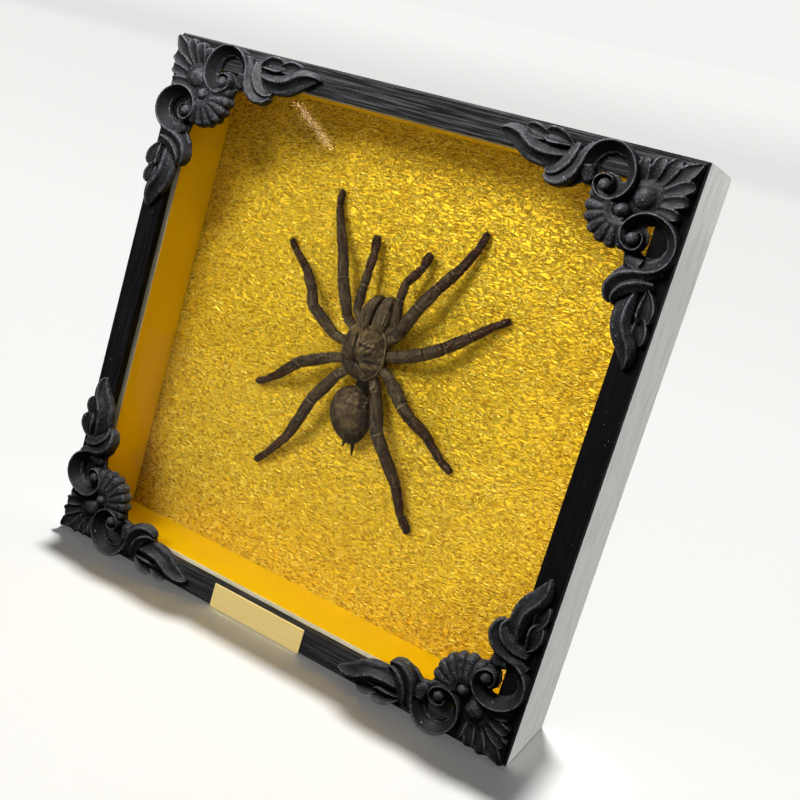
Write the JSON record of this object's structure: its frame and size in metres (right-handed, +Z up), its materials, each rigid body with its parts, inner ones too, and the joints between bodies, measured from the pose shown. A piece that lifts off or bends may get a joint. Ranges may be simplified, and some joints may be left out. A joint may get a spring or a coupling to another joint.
{
  "type": "framed tarantula specimen",
  "caption": "Square black shadow-box frame with cast corner ornaments, holding a spread dried tarantula on a gold panel behind glass.",
  "frame": {"origin": "middle of the frame's flat bottom face, halfway through its depth", "axes": "+X to the viewer's right, +Y from the glass to the back, +Z up"},
  "size_m": [0.25, 0.056, 0.25],
  "materials": {
    "black_paint": "satin",
    "glass": "gloss",
    "gold_liner": "satin",
    "gold_panel": "satin",
    "back_board": "matte",
    "back_tabs": "satin",
    "plate": "satin",
    "ornament": "matte",
    "tarantula": "matte"
  },
  "bodies": {
    "root": {"frame_bottom": "black_paint", "frame_left": "black_paint", "frame_top": "black_paint", "frame_right": "black_paint", "glass_pane": "glass", "liner_bottom": "gold_liner", "liner_top": "gold_liner", "liner_left": "gold_liner", "liner_right": "gold_liner", "backing_panel": "gold_panel", "back_board": "back_board", "back_tab_bottom_1": "back_tabs", "back_tab_bottom_2": "back_tabs", "back_tab_left_1": "back_tabs", "back_tab_left_2": "back_tabs", "back_tab_top_1": "back_tabs", "back_tab_top_2": "back_tabs", "back_tab_right_1": "back_tabs", "back_tab_right_2": "back_tabs", "name_plate": "plate", "corner_ornament_bottom_left": "ornament", "corner_ornament_top_left": "ornament", "corner_ornament_top_right": "ornament", "corner_ornament_bottom_right": "ornament", "tarantula": "tarantula"}
  },
  "joints": []
}
